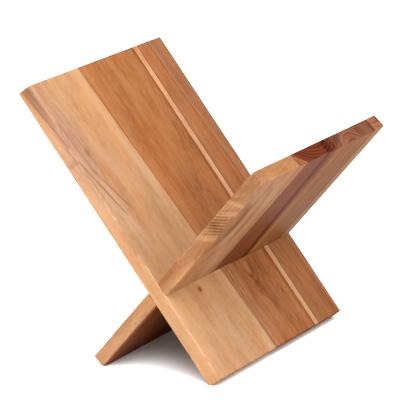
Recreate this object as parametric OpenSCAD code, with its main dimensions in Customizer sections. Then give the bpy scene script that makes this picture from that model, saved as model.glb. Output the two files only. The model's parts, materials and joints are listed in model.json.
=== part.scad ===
// Magazine rack: two panels, each edge-glued from staves, slotted together into a cross.
// The tall back panel leans away from the shorter front panel, and magazines stand in the
// V between them. Each panel is slotted to half its depth, so one slides out of the other.
// Millimetres, +Z up. X runs from the back panel's top towards the front panel's top, and
// Y runs along the depth from the near side. The origin is on the floor, mid rack.

/* [Rack] */
// Depth of the rack, which is the width of both panels
rack_depth = 300; // [240:1:340]
// Thickness of both panels
board_t = 18; // [15:0.5:22]
// Height above the floor at which the panels' centre planes cross
crossing_h = 98; // [85:1:115]
// Radius of the sanded arrises on every outer edge
arris_r = 1.2; // [0.8:0.1:4]
// Width of the flat planed under each foot
foot_flat = 4; // [2:0.5:6]
// Room on each side of a panel in the other panel's slot
slot_gap = 0.15; // [0.05:0.05:0.5]
// Angle in degrees between the slanting glue lines and the sides of the panels
glue_slant = 4; // [0:0.5:5]

/* [Back panel] */
// Angle between the back panel and the floor
back_lean = 51; // [47:0.5:54]
// Length of the back panel above the crossing
back_arm = 283; // [240:1:320]
// First glue line, which slants, at the crossing, as a share of the depth from the near side
back_glue_1 = 0.425; // [0.35:0.005:0.46]
// Second glue line, as a share of the depth
back_glue_2 = 0.777; // [0.6:0.001:0.8]
// Third glue line, which slants, at the crossing, as a share of the depth
back_glue_3 = 0.953; // [0.93:0.001:0.955]

/* [Front panel] */
// Angle between the front panel and the floor
front_lean = 50; // [47:0.5:54]
// Length of the front panel above the crossing
front_arm = 205; // [160:1:240]
// First glue line, which slants, at the crossing, as a share of the depth from the near side
front_glue_1 = 0.337; // [0.25:0.001:0.45]
// Second glue line, which slants, at the crossing, as a share of the depth
front_glue_2 = 0.637; // [0.58:0.001:0.7]
// Third glue line, as a share of the depth
front_glue_3 = 0.92; // [0.8:0.005:0.97]

/* [Hidden] */
$fn = 48;
// How far cutting shapes run past what they cut
past = 2;
back_glue = [0, back_glue_1, back_glue_2, back_glue_3, 1];
front_glue = [0, front_glue_1, front_glue_2, front_glue_3, 1];
// How far each line between staves moves towards the near side, per millimetre up the board
slant = tan(glue_slant);
back_slant = [0, slant, 0, slant, 0];
front_slant = [0, slant, slant, 0, 0];
back_leg = leg_length(back_lean);
front_leg = leg_length(front_lean);
// How far each panel's top corner reaches sideways from the crossing
back_reach = top_reach(back_arm, back_lean);
front_reach = top_reach(front_arm, front_lean);
// The crossing stands where the rack's overall box is centred on X = 0
crossing_x = (back_reach - front_reach) / 2;
// Half the length of a slot's cutting block, enough to pass through the other panel
slot_reach = 1.5 * board_t;

// Depth of the corner planed away for a foot flat at this lean
function planed_depth(lean) = foot_flat / (tan(lean) + 1 / tan(lean));

// Length below the crossing that puts the planed corner on the floor
function leg_length(lean) = (crossing_h + planed_depth(lean) - board_t / 2 * cos(lean)) / sin(lean);

// Sideways reach of the rounded lower corner at a panel's top end
function top_reach(arm, lean) = (arm - arris_r) * cos(lean) + (board_t / 2 - arris_r) * sin(lean) + arris_r;

// Rectangle with an arc of arris_r at each corner
module rounded_rectangle(x0, x1, y0, y1) {
    translate([x0 + arris_r, y0]) square([x1 - x0 - 2 * arris_r, y1 - y0]);
    translate([x0, y0 + arris_r]) square([x1 - x0, y1 - y0 - 2 * arris_r]);
    for (x = [x0 + arris_r, x1 - arris_r], y = [y0 + arris_r, y1 - arris_r]) {
        translate([x, y]) circle(arris_r);
    }
}

// A whole panel in its own frame: X up the board from the crossing, Y along the depth,
// +Z out of the face that the magazines touch
module panel_blank(leg, arm) {
    intersection() {
        translate([0, rack_depth / 2 + past, 0])
            rotate([90, 0, 0])
                linear_extrude(rack_depth + 2 * past)
                    rounded_rectangle(-leg, arm, -board_t / 2, board_t / 2);
        translate([-leg - past, 0, 0])
            rotate([90, 0, 90])
                linear_extrude(leg + arm + 2 * past)
                    rounded_rectangle(-rack_depth / 2, rack_depth / 2, -board_t / 2, board_t / 2);
        translate([0, 0, -board_t])
            linear_extrude(2 * board_t)
                rounded_rectangle(-leg, arm, -rack_depth / 2, rack_depth / 2);
    }
}

// Block that keeps stave number i from x0 to x1 along the board, in the panel's frame
module stave_room(x0, x1, glue, slants, i) {
    y0 = (glue[i] - 0.5) * rack_depth - (i == 0 ? past : 0);
    y1 = (glue[i + 1] - 0.5) * rack_depth + (i == len(glue) - 2 ? past : 0);
    translate([0, 0, -board_t])
        linear_extrude(2 * board_t)
            polygon([[x0, y0 - slants[i] * x0], [x1, y0 - slants[i] * x1],
                [x1, y1 - slants[i + 1] * x1], [x0, y1 - slants[i + 1] * x0]]);
}

module back_frame() {
    translate([crossing_x, 0, crossing_h]) mirror([1, 0, 0]) rotate([0, -back_lean, 0]) children();
}

module front_frame() {
    translate([crossing_x, 0, crossing_h]) rotate([0, -front_lean, 0]) children();
}

// Slot block in a panel's frame, as thick as that panel with slot_gap on both sides
module slot_block(y0, y1) {
    half_t = board_t / 2 + slot_gap;
    translate([-slot_reach, y0, -half_t]) cube([2 * slot_reach, y1 - y0, 2 * half_t]);
}

module below_floor() {
    span = 2 * (back_arm + front_arm);
    translate([-span / 2, -rack_depth, -board_t]) cube([span, 2 * rack_depth, board_t]);
}

// Stave i of the back panel, which is slotted from the far side. A stave that the slot
// severs is kept from x0 = 0 for its upper piece, or up to x1 = 0 for its lower piece.
module back_stave(i, x0 = -back_leg - past, x1 = back_arm + past) {
    difference() {
        back_frame()
            intersection() {
                panel_blank(back_leg, back_arm);
                stave_room(x0, x1, back_glue, back_slant, i);
            }
        front_frame() slot_block(0, rack_depth / 2 + past);
        below_floor();
    }
}

// Stave i of the front panel, which is slotted from the near side, severed the same way
module front_stave(i, x0 = -front_leg - past, x1 = front_arm + past) {
    difference() {
        front_frame()
            intersection() {
                panel_blank(front_leg, front_arm);
                stave_room(x0, x1, front_glue, front_slant, i);
            }
        back_frame() slot_block(-rack_depth / 2 - past, 0);
        below_floor();
    }
}

module back_stave_1() {
    color([0.86, 0.66, 0.48]) back_stave(0);
}

module back_stave_2() {
    color([0.66, 0.44, 0.28]) back_stave(1);
}

module back_stave_3_upper() {
    color([0.68, 0.45, 0.30]) back_stave(2, x0 = 0);
}

module back_stave_3_lower() {
    color([0.68, 0.45, 0.30]) back_stave(2, x1 = 0);
}

module back_stave_4_upper() {
    color([0.74, 0.50, 0.33]) back_stave(3, x0 = 0);
}

module back_stave_4_lower() {
    color([0.74, 0.50, 0.33]) back_stave(3, x1 = 0);
}

module front_stave_1_upper() {
    color([0.80, 0.57, 0.38]) front_stave(0, x0 = 0);
}

module front_stave_1_lower() {
    color([0.80, 0.57, 0.38]) front_stave(0, x1 = 0);
}

module front_stave_2() {
    color([0.50, 0.29, 0.19]) front_stave(1);
}

module front_stave_3() {
    color([0.62, 0.42, 0.28]) front_stave(2);
}

module front_stave_4() {
    color([0.76, 0.53, 0.36]) front_stave(3);
}

back_stave_1();
back_stave_2();
back_stave_3_upper();
back_stave_3_lower();
back_stave_4_upper();
back_stave_4_lower();
front_stave_1_upper();
front_stave_1_lower();
front_stave_2();
front_stave_3();
front_stave_4();
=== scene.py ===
"""Looks of the magazine rack: eleven glued staves of oiled wood, on a pale floor.

Each CAD stave is replaced by a finely divided board with hand-sanded arrises, built in its
panel's own frame: u up the board from the crossing, y along the depth, z out of the face
that the magazines touch. The wood is one solid field of growth rings, fibres and pores,
looked up in that same frame, so that faces, edges and end grain agree.
"""

import json
import math
from typing import NamedTuple

import bpy
import numpy as np
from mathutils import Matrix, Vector


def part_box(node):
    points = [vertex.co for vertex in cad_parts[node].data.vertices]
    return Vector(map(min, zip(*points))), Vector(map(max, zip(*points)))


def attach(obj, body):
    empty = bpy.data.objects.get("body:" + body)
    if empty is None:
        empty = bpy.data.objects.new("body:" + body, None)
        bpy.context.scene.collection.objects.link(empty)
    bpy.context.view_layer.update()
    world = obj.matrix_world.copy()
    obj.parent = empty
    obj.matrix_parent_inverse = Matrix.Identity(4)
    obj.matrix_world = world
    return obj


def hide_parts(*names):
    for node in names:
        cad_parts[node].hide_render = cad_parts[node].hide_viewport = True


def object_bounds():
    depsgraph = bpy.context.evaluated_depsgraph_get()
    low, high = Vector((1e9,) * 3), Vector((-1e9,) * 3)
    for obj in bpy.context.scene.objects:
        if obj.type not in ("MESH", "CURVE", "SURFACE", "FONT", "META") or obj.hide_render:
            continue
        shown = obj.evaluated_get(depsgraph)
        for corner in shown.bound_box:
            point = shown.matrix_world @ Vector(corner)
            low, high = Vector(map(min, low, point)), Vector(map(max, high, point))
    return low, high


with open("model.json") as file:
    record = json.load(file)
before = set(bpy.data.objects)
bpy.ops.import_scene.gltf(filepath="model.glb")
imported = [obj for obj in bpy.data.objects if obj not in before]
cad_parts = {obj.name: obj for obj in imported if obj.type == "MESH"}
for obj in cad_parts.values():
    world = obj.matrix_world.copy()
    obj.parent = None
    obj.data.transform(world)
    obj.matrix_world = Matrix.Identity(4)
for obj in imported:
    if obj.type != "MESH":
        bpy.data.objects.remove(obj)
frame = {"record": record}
cad_box = [list(corner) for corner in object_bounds()]

# Sizes of the boards, in metres, as in the CAD
HALF_T = 0.009
ARRIS = 0.0012
SLOT_GAP = 0.00015
FOOT_FLAT = 0.004
BACK_LEAN = math.radians(51)
FRONT_LEAN = math.radians(50)
GLUE_SLANT = math.tan(math.radians(4))

# How finely the boards are divided, and the angles of the grid's rows round an arris
CELL = 0.004
ARRIS_ANGLES = (45, 36, 27, 18, 9, 0)
ARRIS_MARGIN = 0.001

# How far the hand-sanded boards depart from the CAD, in metres: the smallest radius of an
# arris and what the sanding adds to it, the easing at joints, and the waviness of the faces
ARRIS_MIN = 0.0009
ARRIS_SPREAD = 0.0006
EASE = 0.0003
EASED_SHARE = 0.7
WOBBLE = 0.00015
# Length, direction and phase of each wave that makes up the unevenness
WAVES = ((0.17, 0.3, 0), (0.083, 1.4, 2.1), (0.051, 2.3, 4.2), (0.031, 0.9, 6.3))
SEED_PHASE = 1.7

# Distances over which the slot walls' slope, the arrises' wear and painted highlight, and the end
# grain fade, in metres
SLOPE_FADE = 0.04
WEAR_HIGHLIGHT_REACH = 0.002
END_REACH = 0.0015
SHARP_ANGLE = math.radians(28)

MM = 1000


class Panel:
    """Where one panel lies: its lean, its mirror side, and its arm and leg from the crossing."""

    def __init__(self, body, lean, side, slants):
        self.body = body
        self.lean = lean
        self.side = side
        self.slants = slants
        nodes = frame["record"]["behaviour"]["bodies"][body]
        boxes = [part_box(node) for node in nodes]
        reach = max(side * corner.x for box in boxes for corner in box)
        top = max(box[1].z for box in boxes)
        self.near = min(box[0].y for box in boxes)
        self.far = max(box[1].y for box in boxes)
        inner = HALF_T - ARRIS
        x = reach - ARRIS * (1 - math.cos(lean)) - inner * math.sin(lean)
        z = top - ARRIS * (1 - math.sin(lean)) - inner * math.cos(lean)
        self.top_x = side * x
        self.top_z = z

    def meet(self, other):
        """The crossing of the two centre planes, and this panel's arm and leg from it."""
        a = math.tan(self.lean) * self.side
        b = math.tan(other.lean) * other.side
        self.x = (other.top_z - self.top_z + a * self.top_x - b * other.top_x) / (a - b)
        self.z = self.top_z + a * (self.x - self.top_x)
        self.arm = math.hypot(self.top_x - self.x, self.top_z - self.z)
        planed = FOOT_FLAT / (math.tan(self.lean) + 1 / math.tan(self.lean))
        self.leg = (self.z + planed - HALF_T * math.cos(self.lean)) / math.sin(self.lean)

    def glue_lines(self, feet):
        """Each stave's sides at the crossing, from the boxes of the pieces that reach the foot."""
        inner = [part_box(node)[1].y - slant * self.leg
                 for node, slant in zip(feet[:-1], self.slants[1:])]
        self.lines = [self.near, *inner, self.far]

    def to_row(self, points):
        """Panel-frame points in the row frame, with the foot planed flat on the floor."""
        u, y, z = points.T
        x = self.x + self.side * (u * math.cos(self.lean) - z * math.sin(self.lean))
        height = self.z + u * math.sin(self.lean) + z * math.cos(self.lean)
        return np.stack([x, y, np.maximum(height, 0)], 1)


back = Panel("back_panel", BACK_LEAN, -1, (0, GLUE_SLANT, 0, GLUE_SLANT, 0))
front = Panel("front_panel", FRONT_LEAN, 1, (0, GLUE_SLANT, GLUE_SLANT, 0, 0))
back.meet(front)
front.meet(back)
back.glue_lines(["back_stave_1", "back_stave_2", "back_stave_3_lower", "back_stave_4_lower"])
front.glue_lines(["front_stave_1_lower", "front_stave_2", "front_stave_3", "front_stave_4"])
CROSSING = BACK_LEAN + FRONT_LEAN
SLOT_HALF = (HALF_T + SLOT_GAP) / math.sin(CROSSING)
SLOT_SHEAR = -1 / math.tan(CROSSING)


def ripple(a, b, seed):
    """Smooth unevenness from 0 to 1 over a surface, the same for every board that shares it."""
    total = np.zeros_like(a)
    for length, turn, phase in WAVES:
        along = a * math.cos(turn) + b * math.sin(turn)
        total += np.sin(2 * math.pi * along / length + seed * SEED_PHASE + phase)
    return 0.5 + total / (2 * len(WAVES))


def side_lines(limit, direction, rounded):
    """Grid lines next to one end of a range: a row for the arris, or a small eased edge."""
    if rounded:
        reach = ARRIS_MIN + ARRIS_SPREAD
        offsets = [reach * (1 - math.tan(math.radians(angle))) for angle in ARRIS_ANGLES]
        offsets.append(reach + ARRIS_MARGIN)
    else:
        offsets = [0, EASE]
    return [limit + direction * offset for offset in offsets]


def grid_lines(low, high, round_low, round_high, extra=()):
    """All grid lines from low to high, with finer rows at both ends and at the extra lines."""
    start = side_lines(low, 1, round_low)
    end = side_lines(high, -1, round_high)[::-1]
    stops = [start[-1], *[line for line in extra if start[-1] < line < end[0]], end[0]]
    lines = start[:-1]
    for first, last in zip(stops, stops[1:]):
        count = max(1, round((last - first) / CELL))
        lines += [first + (last - first) * i / count for i in range(count)]
    return np.array(lines + end)


def boundary_quads(solid):
    """Outward quads, as grid vertex numbers, between full and empty cells of a masked grid."""
    size = np.array(solid.shape) + 1
    padded = np.pad(solid, 1)
    quads = []
    for axis in range(3):
        inside = [slice(1, -1)] * 3
        inside[axis] = slice(0, -1)
        beyond = [slice(1, -1)] * 3
        beyond[axis] = slice(1, None)
        before, after = padded[tuple(inside)], padded[tuple(beyond)]
        for rising, cells in ((True, before & ~after), (False, ~before & after)):
            base = np.argwhere(cells)
            step_b, step_c = np.zeros(3, int), np.zeros(3, int)
            step_b[(axis + 1) % 3] = 1
            step_c[(axis + 2) % 3] = 1
            ring = [base, base + step_b, base + step_b + step_c, base + step_c]
            corners = np.stack([np.ravel_multi_index(corner.T, size) for corner in ring], 1)
            quads.append(corners if rising else corners[:, ::-1])
    return np.concatenate(quads)


def rounded(points, low, high, radius, inset):
    """Points of a box grid pulled onto the rounded box from low to high.

    The skin is set inwards by inset. An infinite limit is left square.
    """
    inner = np.clip(points, low + radius[:, None], high - radius[:, None])
    outward = points - inner
    reach = np.abs(outward).max(1)
    length = np.maximum(np.linalg.norm(outward, axis=1), 1e-9)
    scale = reach / length * (1 - inset / radius)
    return inner + outward * scale[:, None]


def grid_surface(u_lines, y_lines, z_lines, slot_side):
    """Surface points and outward quads of a box grid, notched unless slot_side is 0."""
    mid_u, mid_y = (u_lines[1:] + u_lines[:-1]) / 2, (y_lines[1:] + y_lines[:-1]) / 2
    solid = np.ones((len(mid_u), len(mid_y), len(z_lines) - 1), bool)
    if slot_side:
        solid[np.ix_(np.abs(mid_u) < SLOT_HALF, mid_y * slot_side > 0)] = False
    quads = boundary_quads(solid)
    used, corners = np.unique(quads, return_inverse=True)
    index = np.stack(np.unravel_index(used, np.array(solid.shape) + 1), 1)
    points = np.stack([u_lines[index[:, 0]], y_lines[index[:, 1]], z_lines[index[:, 2]]], 1)
    return points, corners.reshape(quads.shape)


def slot_slope(wood):
    """How far each point moves up the board, as the slot walls slope with the other panel."""
    fade = np.clip((np.abs(wood[:, 0]) - SLOT_HALF - 2 * EASE) / SLOPE_FADE, 0, 1)
    return wood[:, 2] * SLOT_SHEAR * (1 - fade * fade * (3 - 2 * fade))


def add_attributes(mesh, panel, wood):
    """Each point's place in the wood, in mm, and how close it is to an arris and to an end."""
    place = mesh.attributes.new("wood_pos", "FLOAT_VECTOR", "POINT")
    place.data.foreach_set("vector", (wood * MM).astype(np.float32).ravel())
    near_edge, far_edge = panel.near - wood[:, 1], wood[:, 1] - panel.far
    ends = np.maximum(-panel.leg - wood[:, 0], wood[:, 0] - panel.arm)
    gaps = np.stack([ends, np.maximum(near_edge, far_edge), np.abs(wood[:, 2]) - HALF_T], 1)
    gaps = np.sort(np.abs(gaps), axis=1)
    # How near a point is to an arris, for the arrises' wear and painted highlight
    wear_and_highlight = np.exp(-(((gaps[:, 0] + gaps[:, 1]) / WEAR_HIGHLIGHT_REACH) ** 2))
    for name, values in (("arris", wear_and_highlight), ("end_grain", np.exp(-((ends / END_REACH) ** 2)))):
        attribute = mesh.attributes.new(name, "FLOAT", "POINT")
        attribute.data.foreach_set("value", values.astype(np.float32))


def board_mesh(name, panel, stave, part):
    """Mesh of one stave. part is "whole", or "upper" or "lower" where the slot severs it."""
    y0, y1 = panel.lines[stave:stave + 2]
    near_outer, far_outer = y0 == panel.near, y1 == panel.far
    u0 = SLOT_HALF if part == "upper" else -panel.leg
    u1 = -SLOT_HALF if part == "lower" else panel.arm
    notched = part == "whole" and y0 < 0 < y1
    slot_side = (1 if panel is back else -1) if notched else 0
    walls = [-SLOT_HALF - EASE, -SLOT_HALF, SLOT_HALF, SLOT_HALF + EASE] if notched else []
    floor = sorted([0, -slot_side * EASE]) if notched else []
    u_lines = grid_lines(u0, u1, part != "upper", part != "lower", walls)
    y_lines = grid_lines(y0, y1, near_outer, far_outer, floor)
    z_lines = grid_lines(-HALF_T, HALF_T, True, True)
    points, corners = grid_surface(u_lines, y_lines, z_lines, slot_side)
    u, y, _ = points.T

    # Edges that meet a glue line or a slot are eased with a fine sanding bevel
    eased = ((y == y0) & (not near_outer)) | ((y == y1) & (not far_outer))
    eased |= ((u == u0) & (part == "upper")) | ((u == u1) & (part == "lower"))
    if notched:
        eased |= (np.abs(u) <= SLOT_HALF) & (y * slot_side >= 0)

    # The glue lines slant, and the grid's lines between them share the slant out
    margin = ARRIS_MIN + ARRIS_SPREAD + 2 * EASE
    knots = [(y0, panel.slants[stave]), (y1, panel.slants[stave + 1])]
    knots += [(y0 + margin, 0)] if near_outer else []
    knots += [(y1 - margin, 0)] if far_outer else []
    knots += [(0, 0)] if notched else []
    at, slant = zip(*sorted(knots))
    points[:, 1] -= u * np.interp(y, at, slant)

    u, y, z = points.T
    unevenness = ripple(u + z, y + 2 * z, panel.lean)
    radius = ARRIS_MIN + ARRIS_SPREAD * ripple(u + y, u - y, panel.lean + 1)
    inset = WOBBLE * unevenness + np.where(eased, EASED_SHARE * EASE, 0)
    low = np.array([-np.inf if part == "upper" else u0, y0 if near_outer else -np.inf, -HALF_T])
    high = np.array([np.inf if part == "lower" else u1, y1 if far_outer else np.inf, HALF_T])
    wood = rounded(points, low, high, radius, inset)
    wood[:, 0] += slot_slope(wood)

    if panel.side < 0:
        corners = corners[:, ::-1]
    mesh = bpy.data.meshes.new(name + "_wood")
    mesh.from_pydata(panel.to_row(wood).tolist(), [], corners.tolist())
    mesh.shade_smooth()
    mesh.set_sharp_from_angle(angle=SHARP_ANGLE)
    add_attributes(mesh, panel, wood)
    return mesh


class Field:
    """A number that varies over the wood. Arithmetic on it adds math nodes."""

    def __init__(self, graph, socket):
        self.graph = graph
        self.socket = socket

    def __add__(self, other):
        return self.graph.math("ADD", self, other)

    def __sub__(self, other):
        return self.graph.math("SUBTRACT", self, other)

    def __rsub__(self, other):
        return self.graph.math("SUBTRACT", other, self)

    def __mul__(self, other):
        return self.graph.math("MULTIPLY", self, other)

    def __truediv__(self, other):
        return self.graph.math("DIVIDE", self, other)

    __radd__ = __add__


class Graph:
    """One node material, with a short call for each kind of node that the wood needs."""

    def __init__(self, name):
        self.material = bpy.data.materials.new(name)
        self.material.use_nodes = True
        self.tree = self.material.node_tree
        self.tree.nodes.clear()

    def node(self, kind, inputs, **settings):
        made = self.tree.nodes.new("ShaderNode" + kind)
        for key, value in settings.items():
            setattr(made, key, value)
        for name, value in inputs.items():
            if isinstance(value, Field):
                value = value.socket
            if isinstance(value, bpy.types.NodeSocket):
                self.tree.links.new(value, made.inputs[name])
            else:
                made.inputs[name].default_value = value
        return made

    def math(self, operation, *values):
        made = self.node("Math", dict(enumerate(values)), operation=operation)
        return Field(self, made.outputs[0])

    def attribute(self, name, output):
        return self.node("Attribute", {}, attribute_name=name).outputs[output]

    def split(self, vector):
        made = self.node("SeparateXYZ", {0: vector})
        return [Field(self, output) for output in made.outputs]

    def noise(self, u, y, z, detail):
        """Three unrelated noises from 0 to 1 at the given place, as fields."""
        place = self.node("CombineXYZ", {0: u, 1: y, 2: z}).outputs[0]
        made = self.node("TexNoise", {"Vector": place, "Scale": 1.0, "Detail": detail})
        return self.split(made.outputs["Color"])

    def noise_1d(self, w, detail=1.0):
        made = self.node("TexNoise", {"W": w, "Scale": 1.0, "Detail": detail},
                         noise_dimensions="1D")
        return Field(self, made.outputs[0])

    def step(self, value, low, high):
        """0 below low, 1 above high, smooth between. It falls instead where low is above high."""
        falling = low > high
        made = self.node("MapRange", {"Value": value, "From Min": min(low, high),
                                      "From Max": max(low, high), "To Min": float(falling),
                                      "To Max": float(not falling)},
                         interpolation_type="SMOOTHSTEP")
        return Field(self, made.outputs[0])

    def window(self, value, low, high, fade):
        """1 between low and high, and 0 beyond the fade on either side."""
        return self.step(value, low - fade, low) * self.step(value, high + fade, high)

    def swell(self, place, centre, half):
        """A bell that is 1 at the centre and dies away over the half sizes."""
        total = 0
        for value, middle, size in zip(place, centre, half):
            off = (value - middle) / size
            total = off * off + total
        return self.math("EXPONENT", total * -1)

    def mix(self, factor, under, over, blend="MIX"):
        made = self.node("Mix", {"Factor": factor}, data_type="RGBA", blend_type=blend)
        for socket, value in ((made.inputs[6], under), (made.inputs[7], over)):
            if isinstance(value, bpy.types.NodeSocket):
                self.tree.links.new(value, socket)
            else:
                socket.default_value = (*value, 1)
        return made.outputs[2]

    def ramp(self, value, stops):
        """Colour that runs evenly through the stops as value goes from 0 to 1."""
        made = self.node("ValToRGB", {0: value})
        elements = made.color_ramp.elements
        elements[0].color = (*stops[0], 1)
        elements[1].color = (*stops[-1], 1)
        for number, colour in enumerate(stops[1:-1], 1):
            elements.new(number / (len(stops) - 1)).color = (*colour, 1)
        return made.outputs[0]


def display(red, green, blue):
    """Linear colour from display values out of 255."""
    return tuple(((value / 255 + 0.055) / 1.055) ** 2.4 for value in (red, green, blue))


class Layer(NamedTuple):
    """A flat layer of other colour: a streak, a wedge or a thin dark line in the wood, or painted
    shade along a face.

    It lies where normal . (u, y, z) is within half of at. It may be kept to a range of u
    (along, with its fade) and to a range of y (depth).
    """

    normal: tuple
    at: float
    half: float
    soft: float
    colour: tuple
    strength: float = 1.0
    along: tuple = None
    depth: tuple = None
    fade: float = 8.0


class Eye(NamedTuple):
    """A place where the rings close round a knot or a swirl, or where only the colour changes.

    Lift is how many rings it raises, and line is how much darker it makes their lines.
    """

    centre: tuple
    half: tuple
    colour: tuple
    strength: float
    lift: float = 0.0
    line: float = 0.0


class Fan(NamedTuple):
    """A place with dark lines of its own. Curl along u and y closes them round the origin.

    Turns is how many lines are crossed per millimetre along u, y and z.
    """

    origin: tuple
    turns: tuple
    centre: tuple
    half: tuple
    line: float
    curl: tuple = (0.0, 0.0)


# What every stave's wood has unless its own entry says otherwise. Lengths are millimetres.
WOOD = {
    # Where the pith lies in y and z at the crossing, and how far it moves per mm up the board
    "pith": (0, -40),
    "drift": (0, 0.03),
    # Width of a growth ring, and how far the grain wanders from straight
    "ring": 6.0,
    "wander": 6.0,
    # How dark the lines of the rings are on the faces, and what the end grain adds to that
    "line": 0.10,
    "end_line": 0.25,
    # How much each kind of mark changes the tone
    "zone": 0.16,
    "streak": 0.14,
    "mottle": 0.26,
    "fleck": 0.32,
    "layers": (),
    "eyes": (),
    "fans": (),
}

# Share of the middle colour's red, green and blue from the darkest tone to the palest
TONES = ((0.55, 0.40, 0.30), (0.78, 0.69, 0.61), (1, 1, 1), (1.14, 1.20, 1.26), (1.25, 1.38, 1.50))
# What the colour is multiplied by in the glue seams, in the pores, on the arrises (wear and a
# painted highlight), and where the wood drifts to the warm side and to the cool side
SEAM = (0.46, 0.33, 0.25)
PORE = (0.62, 0.5, 0.42)
WORN_AND_HIGHLIGHT = (1.35, 1.42, 1.50)
WARM = (1.04, 0.98, 0.91)
COOL = (0.97, 1.01, 1.04)
# The studio is this much brighter than the light in which the colours below were judged
STUDIO_GAIN = 2.0

# Length along the grain and width across it of the marks in the wood, in millimetres
SLOW_SIZE = (110, 30)
STREAK_SIZE = (170, 3.2)
MOTTLE_SIZE = (55, 17)
FIBRE_SIZE = (16, 0.6)
FLECK_SIZE = (8, 1.4)
PORE_SIZE = (6, 0.3)
# Every stave's wood is looked up this far from the next one's
SEED_STEP = 17.3
# How often, in rings, the ring width changes and by how much, and how often the broad zones do
PACE_CHANGES = 0.45
PACE_SWING = 1.6
ZONE_CHANGES = 0.31
ZONE_START = 5
# Shares of a ring's width at which its late wood starts, is darkest, falls off and is gone
LATE_WOOD = (0.3, 0.93, 0.94, 1.0)
# How far the flow of the grain carries the flat layers and the fans' lines along
LAYER_SWAY = 0.15
FAN_SWAY = 0.8
# Half widths of a glue seam, where it is full and where it is gone, in millimetres
SEAM_HALVES = (0.3, 0.9)
SEAM_STRENGTH = 0.8
# Noise values at which pores, the hue's drift and the arrises' wear and painted highlight start and
# are full
PORE_FROM, PORE_FULL = 0.62, 0.72
COOL_FROM, COOL_FULL = 0.35, 0.65
WEAR_HIGHLIGHT_FROM, WEAR_HIGHLIGHT_FULL = 0.42, 0.62
PORE_STRENGTH = 0.3
FIBRE_STRENGTH = 0.24

BACK_TAN = dict(
    mid=display(199, 149, 107), end=display(190, 138, 94),
    pith=(-170, -30), drift=(-0.052, -0.079), line=0.04, streak=0.07, mottle=0.30, fleck=0.24,
    layers=(
        Layer((GLUE_SLANT, 1, 0), -31, 6, 4, display(208, 160, 119), 0.7),
        Layer((GLUE_SLANT, 1, 0), -37, 0.4, 0.9, display(160, 110, 70), 0.4, (-110, -40), fade=20),
        Layer((GLUE_SLANT, 1, 0), -45, 0.4, 0.9, display(166, 116, 76), 0.35, (-110, -60), fade=20),
        Layer((0, 1, 0), -146, 4, 5, display(210, 160, 118), 0.5),
        Layer((0.13, 0, 1), 34, 0.5, 2.0, display(140, 95, 62), 0.5, (200, 290), (-152, -147)),
        Layer((0.31, 1, 0), -93.6, 0.6, 2.0, display(148, 102, 70), 0.75, (104, 172), fade=12),
        Layer((0.15, 1, 0), -107.9, 1.2, 3.0, display(162, 116, 84), 0.65, (160, 222), fade=14),
        Layer((0.42, 1, 0), -65.8, 0.5, 1.8, display(150, 104, 72), 0.65, (112, 156), fade=10),
    ),
    eyes=(
        Eye((282, -150, 3), (30, 2.5, 6), display(152, 106, 74), 0.95),
        Eye((250, -150, 9), (32, 2.5, 6), display(150, 102, 70), 0.9),
        Eye((200, -150, -1), (40, 2.5, 6), display(212, 166, 130), 0.6),
        Eye((62, -150, 9), (22, 2.5, 5), display(172, 124, 84), 0.8),
        Eye((100, -150, -9), (70, 3, 5), display(186, 139, 104), 0.6),
        Eye((100, -128, 9), (45, 16, 10), display(206, 162, 130), 0.6),
        Eye((210, -140, 9), (70, 24, 10), display(183, 142, 124), 0.7, line=0.12),
        Eye((-18, -83.4, 9), (4.4, 3.4, 12), display(112, 66, 38), 0.85, 1.0, 0.5),
        Eye((-12, -90, 9), (24, 60, 12), display(214, 156, 106), 0.8),
        Eye((-85, -85, 9), (35, 38, 12), display(193, 149, 113), 0.6),
        Eye((183, -123, 9), (7, 3.0, 12), display(150, 100, 66), 0.6, 0.8, 0.2),
    ),
)
BACK_BROWN = dict(
    mid=display(176, 113, 68), end=display(148, 86, 46),
    pith=(40, -60), drift=(0.03, 0.04), line=0.14, zone=0.24, streak=0.24, mottle=0.36,
    layers=(
        Layer((GLUE_SLANT, 1, 0), -20, 5, 12, display(184, 123, 78), 0.7),
        Layer((0, 1, 0), -13.5, 0.4, 0.9, display(116, 64, 34), 0.6, (-130, 30), fade=25),
        Layer((0, 1, 0), -7, 0.3, 0.8, display(122, 68, 36), 0.45, (-100, 60), fade=25),
        Layer((0, 1, 0), 50, 0.3, 0.8, display(124, 70, 38), 0.4, (-34, 80), fade=12),
        Layer((0, 1, 0), 57, 0.4, 0.9, display(114, 60, 32), 0.6, (-38, 60), fade=10),
        Layer((0, 1, 0), 80.6, 1.2, 2.2, display(126, 72, 40), 0.5),
        Layer((-0.18, 1, 0), 41.5, 0.5, 1.4, display(108, 56, 32), 0.6, (-35, -10), fade=6),
        Layer((0.68, 1, 0), -14, 0.5, 1.4, display(124, 70, 38), 0.55, (-68, -47), fade=5),
        Layer((0.05, 1, 0), 36, 0.5, 1.4, display(124, 70, 38), 0.4, (-105, -70), fade=8),
    ),
    eyes=(
        Eye((-22, 25, 9), (12, 6, 14), display(192, 133, 94), 0.6),
        Eye((-27, 24, 9), (5, 3, 14), display(204, 150, 112), 0.5),
        # A lighter patch just below the crossing: painted light that offsets the shade of the front
        # panel
        Eye((-30, -12, 9), (30, 12, 12), display(196, 136, 92), 0.6),
        Eye((-41, 28, 9), (4, 4, 14), display(104, 52, 28), 0.75),
        Eye((-50, 30, 9), (9, 4, 14), display(128, 72, 42), 0.6),
        Eye((-75, 34, 9), (30, 4, 14), display(140, 80, 46), 0.5),
        Eye((-65, 65, 9), (4, 1.4, 8), display(104, 54, 30), 0.7),
        Eye((-98, 50, 9), (4, 1.2, 8), display(112, 60, 34), 0.6),
        Eye((-104, 60, 9), (4, 1.2, 8), display(112, 60, 34), 0.5),
        Eye((-85, 25, 9), (32, 50, 12), display(178, 125, 87), 0.7),
    ),
    fans=(
        Fan((-14, 27, 9), (0, 0, 0), (-24, 29, 9), (17, 14, 14), 0.6, (0.0014, 0.0056)),
    ),
)
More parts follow.
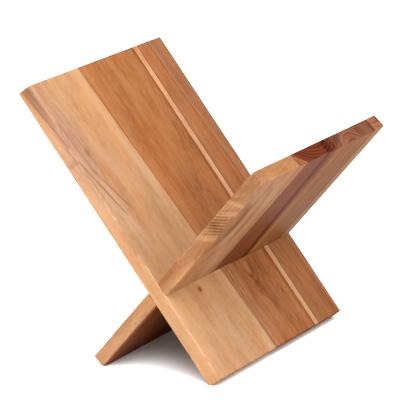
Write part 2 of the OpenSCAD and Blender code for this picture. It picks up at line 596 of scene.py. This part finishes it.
BACK_STRIPED = dict(
    mid=display(171, 109, 68), end=display(140, 80, 44),
    pith=(150, -90), drift=(0, 0.01), line=0.08, streak=0.28, mottle=0.34,
    layers=(
        Layer((0, 1, 0), 88, 4.4, 0.7, display(217, 160, 120)),
        Layer((0, 1, 0), 93.4, 0.4, 0.7, display(104, 54, 28), 0.8),
        Layer((0.245, 1, 0), 92.4, 0.4, 1.0, display(108, 56, 30), 0.5, (-60, -32), fade=8),
        Layer((0.12, 1, 0), 114, 0.4, 0.9, display(108, 56, 30), 0.45, (-60, 60), fade=20),
        Layer((GLUE_SLANT, 1, 0), 131, 0.4, 0.9, display(108, 56, 30), 0.45, (-110, 40), fade=20),
    ),
    eyes=(Eye((-110, 110, 9), (45, 50, 12), display(154, 100, 61), 0.8),),
)
BACK_ORANGE = dict(mid=display(165, 111, 77), end=display(142, 86, 54), pith=(150, -50))
FRONT_TAN = dict(
    mid=display(175, 125, 88), end=display(175, 122, 82),
    pith=(-110, 70), drift=(0.0, 0.06), line=0.04, end_line=0.10, streak=0.10, mottle=0.34,
    eyes=(
        Eye((118, -140, -9), (46, 36, 5), display(154, 108, 76), 0.8),
        Eye((100, -85, -9), (110, 34, 8), display(184, 137, 103), 0.6),
        Eye((190, -150, 3), (30, 3, 16), display(160, 109, 75), 0.85),
        Eye((122, -150, 0), (30, 4, 16), display(174, 131, 95), 0.8),
        Eye((82, -150, 3), (16, 3, 16), display(165, 115, 82), 0.8),
        Eye((119, -150, 2), (7, 4, 7), display(128, 88, 62), 0.65),
        Eye((36, -105, -9), (34, 60, 10), display(186, 128, 84), 0.6),
        Eye((30, -150, 5), (26, 4, 4), display(156, 100, 64), 0.7),
        Eye((40, -150, -8), (32, 4, 5), display(190, 142, 105), 0.7),
    ),
    fans=(
        Fan((0, 0, 0), (0.20, 0, 0.20), (123, -150, 0), (14, 4, 12), 1.0),
        Fan((0, 0, 0), (0.05, 0, 0.07), (150, -150, 0), (70, 4, 16), 0.15),
        Fan((124, -150, -9), (0, 0, 0), (124, -112, -9), (60, 34, 6), 0.45, (0.00024, 0.00029)),
    ),
    layers=(
        Layer((1, 0, 0.5), 159, 1.5, 2.5, display(206, 158, 118), 0.5, depth=(-152, -148)),
        Layer((1, 0, 1), 143, 2.5, 2.5, display(200, 153, 114), 0.45, depth=(-152, -148)),
        Layer((1, 0, 0.85), 100, 3.0, 2.5, display(206, 154, 110), 0.5, depth=(-152, -148)),
    ),
)
FRONT_LEG = dict(
    FRONT_TAN, mid=display(195, 146, 106), end=display(178, 124, 84), fans=(),
    eyes=(Eye((-50, -150, 9), (46, 4, 6), display(166, 113, 76), 0.9),),
    # The dark layer along the leg's underside (z = -9) is painted shade, where little light reaches
    # under the rack
    layers=(Layer((0, 0, 1), -10, 2.5, 1.5, display(128, 63, 32), 0.9),),
)
FRONT_RED = dict(
    mid=display(127, 71, 41), end=display(118, 56, 30),
    pith=(-3, 46), ring=4.6, line=0.10, end_line=0.50, streak=0.16,
    layers=(
        Layer((0, 1, 1), -73.5, 20, 0.8, display(168, 121, 85)),
        Layer((0.11, 1, 0), 34, 5, 4, display(98, 43, 21), 0.9),
        Layer((0.11, 1, 0), 29, 0.4, 0.9, display(76, 36, 20), 0.5),
    ),
)
FRONT_BROWN = dict(
    mid=display(147, 92, 52), end=display(132, 86, 62),
    pith=(68, -30), ring=5.2, line=0.08, end_line=0.40, streak=0.18,
    layers=(
        Layer((0, 1, -1.5), 21.5, 20, 1.0, display(125, 73, 41), 0.85),
        Layer((0, 1, 0), 50, 5, 4, display(160, 106, 60), 0.5),
        Layer((0, 1, 0), 42, 0.4, 0.9, display(94, 52, 30), 0.55, (110, 200), fade=15),
        Layer((0, 1, 0), 57, 0.6, 1.0, display(90, 50, 28), 0.75, (130, 190), fade=15),
        Layer((0, 1, -0.15), 123, 1.0, 2.0, display(108, 62, 36), 0.6, (204, 210), fade=1.5),
    ),
)
FRONT_AMBER = dict(
    mid=display(164, 120, 84), end=display(160, 108, 78),
    pith=(140, 60), eyes=(Eye((205, 148.5, 4), (4, 3.5, 6), display(84, 42, 22), 1.0),),
)

WOODS = {
    "back_stave_1": dict(BACK_TAN, seed=1),
    "back_stave_2": dict(BACK_BROWN, seed=2),
    "back_stave_3_upper": dict(BACK_STRIPED, seed=3),
    "back_stave_3_lower": dict(BACK_STRIPED, seed=3),
    "back_stave_4_upper": dict(BACK_ORANGE, seed=4),
    "back_stave_4_lower": dict(BACK_ORANGE, seed=4),
    "front_stave_1_upper": dict(FRONT_TAN, seed=5),
    "front_stave_1_lower": dict(FRONT_LEG, seed=5),
    "front_stave_2": dict(FRONT_RED, seed=6),
    "front_stave_3": dict(FRONT_BROWN, seed=7),
    "front_stave_4": dict(FRONT_AMBER, seed=8),
}


def share(colour, mid):
    """What a middle colour is multiplied by to give the other colour."""
    return tuple(part / whole for part, whole in zip(colour, mid))


def tone_stops(mid):
    """The colours of a stave's wood from its darkest tone to its palest."""
    return [tuple(part * level / STUDIO_GAIN for part, level in zip(mid, tone)) for tone in TONES]


def marks(graph, place, size, seed, detail=2.0):
    """Noise drawn out along the grain, with marks of the given length and width."""
    u, y, z = place
    length, width = size
    return graph.noise(u / length + seed, y / width, z / width, detail)


def ring_turns(graph, wood, place, flow, seed):
    """How many growth rings lie between the pith and a point, with the swirls round the eyes."""
    u, y, z = place
    across = y + flow[0] - u * wood["drift"][0] - wood["pith"][0]
    through = z + flow[1] - u * wood["drift"][1] - wood["pith"][1]
    turns = graph.math("SQRT", across * across + through * through) / wood["ring"]
    turns = turns + (graph.noise_1d(turns * PACE_CHANGES + seed) - 0.5) * PACE_SWING
    for eye in wood["eyes"]:
        if eye.lift:
            turns = turns + graph.swell(place, eye.centre, eye.half) * eye.lift
    return turns


def ring_line(graph, turns):
    """The dark late wood of each ring: it comes on slowly and ends sharply."""
    phase = graph.math("FRACT", turns)
    start, full, falling, gone = LATE_WOOD
    return graph.step(phase, start, full) * graph.step(phase, gone, falling)


def line_strength(graph, wood, place, end):
    """How dark the ring lines are: more so in the eyes and on the end grain."""
    strength = end * wood["end_line"] + wood["line"]
    for eye in wood["eyes"]:
        if eye.line:
            strength = strength + graph.swell(place, eye.centre, eye.half) * eye.line
    return strength


def fan_lines(graph, fan, place, drift):
    """How dark the lines of a fan are."""
    offsets = [value - middle for value, middle in zip(place, fan.origin)]
    turns = drift * FAN_SWAY
    for offset, part in zip(offsets, fan.turns):
        turns = turns + offset * part
    for offset, part in zip(offsets, fan.curl):
        turns = turns + offset * offset * part
    return ring_line(graph, turns) * graph.swell(place, fan.centre, fan.half) * fan.line


def add_layers(graph, wood, place, flow, colour):
    """The colour with every layer of the stave laid over it."""
    u, y, z = place
    for layer in wood["layers"]:
        part_u, part_y, part_z = layer.normal
        off = u * part_u + (y + flow[0] * LAYER_SWAY) * part_y + z * part_z - layer.at
        off = graph.math("ABSOLUTE", off)
        mask = graph.step(off, layer.half + layer.soft, layer.half) * layer.strength
        if layer.along:
            mask = mask * graph.window(u, *layer.along, layer.fade)
        if layer.depth:
            mask = mask * graph.window(y, *layer.depth, 1.0)
        colour = graph.mix(mask, colour, share(layer.colour, wood["mid"]), "MULTIPLY")
    return colour


def add_eyes(graph, wood, place, colour):
    """The colour with every eye and patch of the stave laid over it."""
    for eye in wood["eyes"]:
        mask = graph.swell(place, eye.centre, eye.half) * eye.strength
        colour = graph.mix(mask, colour, share(eye.colour, wood["mid"]), "MULTIPLY")
    return colour


def add_seams(graph, seams, place, colour):
    """The colour with a thin dark glue line at each side that meets another stave."""
    u, y, _ = place
    full, gone = SEAM_HALVES
    for line, slant in seams:
        off = graph.math("ABSOLUTE", u * slant + y - line)
        mask = graph.step(off, gone, full) * SEAM_STRENGTH
        colour = graph.mix(mask, colour, SEAM, "MULTIPLY")
    return colour


def drift_hue(graph, value, colour):
    """The colour, drifting from the warm side to the cool side as the value goes up."""
    warm = graph.mix(1.0, colour, WARM, "MULTIPLY")
    cool = graph.mix(1.0, colour, COOL, "MULTIPLY")
    return graph.mix(graph.step(value, COOL_FROM, COOL_FULL), warm, cool)


def oiled_surface(graph, colour, rough, height):
    """The shader of oiled wood, with its fine relief."""
    bump = graph.node("Bump", {"Height": height, "Distance": 0.00012, "Strength": 0.5})
    shader = graph.node("BsdfPrincipled", {"Base Color": colour, "Roughness": rough,
                                           "Normal": bump.outputs[0], "IOR": 1.45,
                                           "Specular IOR Level": 0.012})
    out = graph.node("OutputMaterial", {"Surface": shader.outputs[0]})
    out.is_active_output = True
    return graph.material


def wood_material(name, own, seams):
    """Oiled wood of one stave: growth rings, broad zones, streaks, fibres, pores, and wear with a
    painted highlight on the arrises.
    """
    wood = {**WOOD, **own}
    graph = Graph(name)
    place = graph.split(graph.attribute("wood_pos", "Vector"))
    end = Field(graph, graph.attribute("end_grain", "Fac"))
    arris = Field(graph, graph.attribute("arris", "Fac"))
    seed = SEED_STEP * wood["seed"]
    slow = marks(graph, place, SLOW_SIZE, seed)
    flow = [(slow[0] - 0.5) * wood["wander"], (slow[1] - 0.5) * wood["wander"]]
    swayed = [place[0], place[1] + flow[0], place[2] + flow[1]]
    streak = marks(graph, swayed, STREAK_SIZE, seed)
    mottle = marks(graph, place, MOTTLE_SIZE, seed, 3.0)
    fibre = marks(graph, place, FIBRE_SIZE, seed)
    fleck = marks(graph, place, FLECK_SIZE, seed, 3.0)
    pore = graph.step(marks(graph, place, PORE_SIZE, seed, 1.0)[0], PORE_FROM, PORE_FULL)
    turns = ring_turns(graph, wood, place, flow, seed)
    late = ring_line(graph, turns)
    zone = graph.noise_1d(turns * ZONE_CHANGES + seed + ZONE_START, 2.0)

    tone = 0.5 - late * (0.35 + mottle[1]) * line_strength(graph, wood, place, end)
    tone = tone + (zone - 0.5) * (2 * wood["zone"])
    tone = tone + (streak[0] - 0.5) * (2 * wood["streak"])
    tone = tone + (mottle[0] - 0.5) * (2 * wood["mottle"])
    tone = tone + (fibre[0] - 0.5) * FIBRE_STRENGTH
    tone = tone + (fleck[0] - 0.5) * (2 * wood["fleck"])
    for fan in wood["fans"]:
        tone = tone - fan_lines(graph, fan, place, slow[2]) * (0.4 + streak[1])

    colour = graph.ramp(tone, tone_stops(wood["mid"]))
    colour = add_layers(graph, wood, place, flow, colour)
    colour = add_eyes(graph, wood, place, colour)
    colour = drift_hue(graph, slow[2], colour)
    colour = graph.mix(end, colour, share(wood["end"], wood["mid"]), "MULTIPLY")
    colour = add_seams(graph, seams, place, colour)
    colour = graph.mix(pore * PORE_STRENGTH, colour, PORE, "MULTIPLY")
    # The arrises are lightened: partly wear, partly a painted highlight that stands in for light
    # caught by the rounded edges
    wear_and_highlight = arris * graph.step(fleck[1], WEAR_HIGHLIGHT_FROM, WEAR_HIGHLIGHT_FULL)
    colour = graph.mix(wear_and_highlight, colour, WORN_AND_HIGHLIGHT, "MULTIPLY")

    # A satin finish that is duller in the pores and on the end grain
    rough = 0.52 + (fibre[1] - 0.5) * 0.16 + (mottle[2] - 0.5) * 0.12 + pore * 0.15 + end * 0.1
    height = (fibre[0] - 0.5) * 0.4 - pore * 0.8 - late * 0.2
    return oiled_surface(graph, colour, rough, height)


def make_staves():
    """Every stave as a board of its own wood, in place of its CAD solid."""
    for name, own in WOODS.items():
        panel = back if name.startswith("back") else front
        number, _, part = name.split("stave_")[1].partition("_")
        stave = int(number) - 1
        sides = zip(panel.lines[stave:stave + 2], panel.slants[stave:stave + 2])
        seams = [(line * MM, slant) for line, slant in sides if line not in (panel.near, panel.far)]
        mesh = board_mesh(name, panel, stave, part or "whole")
        piece = bpy.data.objects.new(name + "_wood", mesh)
        bpy.context.scene.collection.objects.link(piece)
        piece.data.materials.append(wood_material(name + "_oiled", own, seams))
        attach(piece, panel.body)
        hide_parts(name)


def make_floor():
    """A wide pale floor disc with a fine, barely visible unevenness."""
    radius, rings, spokes = 6, 24, 96
    crowding = 1.6
    verts = [(0, 0, 0)]
    faces = []
    for ring in range(1, rings + 1):
        reach = radius * (ring / rings) ** crowding
        for spoke in range(spokes):
            turn = 2 * math.pi * spoke / spokes
            verts.append((reach * math.cos(turn), reach * math.sin(turn), 0))
    for spoke in range(spokes):
        after = (spoke + 1) % spokes
        faces.append((0, 1 + spoke, 1 + after))
        for ring in range(rings - 1):
            inner, outer = 1 + ring * spokes, 1 + (ring + 1) * spokes
            faces.append((inner + spoke, outer + spoke, outer + after, inner + after))
    mesh = bpy.data.meshes.new("floor")
    mesh.from_pydata(verts, [], faces)
    floor = bpy.data.objects.new("floor", mesh)
    bpy.context.scene.collection.objects.link(floor)
    graph = Graph("pale_floor")
    grain = graph.noise(*graph.split(graph.node("NewGeometry", {}).outputs["Position"]), 3.0)
    colour = graph.ramp(grain[0], (display(243, 243, 243), display(248, 248, 248)))
    shader = graph.node("BsdfPrincipled", {"Base Color": colour, "Roughness": 0.8,
                                           "Specular IOR Level": 0.2})
    graph.node("OutputMaterial", {"Surface": shader.outputs[0]})
    mesh.materials.append(graph.material)


def aim(obj, place, target):
    obj.location = place
    obj.rotation_euler = (Vector(target) - Vector(place)).to_track_quat("-Z", "Y").to_euler()
    bpy.context.scene.collection.objects.link(obj)


def seen_from(azimuth, elevation, distance, target):
    """The place at that azimuth and elevation, in degrees, round the target."""
    azimuth, elevation = math.radians(azimuth), math.radians(elevation)
    out = Vector((math.sin(azimuth) * math.cos(elevation),
                  -math.cos(azimuth) * math.cos(elevation), math.sin(elevation)))
    return Vector(target) + out * distance


def make_light(name, target, azimuth, elevation, distance, size, power):
    lamp = bpy.data.lights.new(name, "AREA")
    lamp.shape = "DISK"
    lamp.size = size
    lamp.energy = power
    aim(bpy.data.objects.new(name, lamp), seen_from(azimuth, elevation, distance, target), target)


def make_studio(centre):
    """White surroundings with a soft key lamp, and a plain, unfilmic picture."""
    world = bpy.data.worlds.new("white_studio")
    world.use_nodes = True
    world.node_tree.nodes["Background"].inputs["Color"].default_value = (1, 1, 1, 1)
    world.node_tree.nodes["Background"].inputs["Strength"].default_value = 2.08
    bpy.context.scene.world = world
    make_light("key", centre, azimuth=32, elevation=48, distance=1.7, size=1.1, power=29.2)
    bpy.context.scene.view_settings.view_transform = "Standard"


def make_camera(centre):
    """A long-lens view from the near side and a little above, close to the rack's middle."""
    off_centre = Vector((-0.0057, 0, 0.0088))
    target = centre + off_centre
    lens = bpy.data.cameras.new("camera")
    lens.lens = 281.9
    lens.sensor_width = 36
    lens.clip_end = 50
    camera = bpy.data.objects.new("camera", lens)
    place = seen_from(azimuth=29.74, elevation=15.63, distance=3.7065, target=target)
    aim(camera, place, target)
    bpy.context.scene.camera = camera


make_staves()
make_floor()
low_corner, high_corner = (Vector(corner) for corner in cad_box)
middle = (low_corner + high_corner) / 2
make_studio(middle)
make_camera(middle)
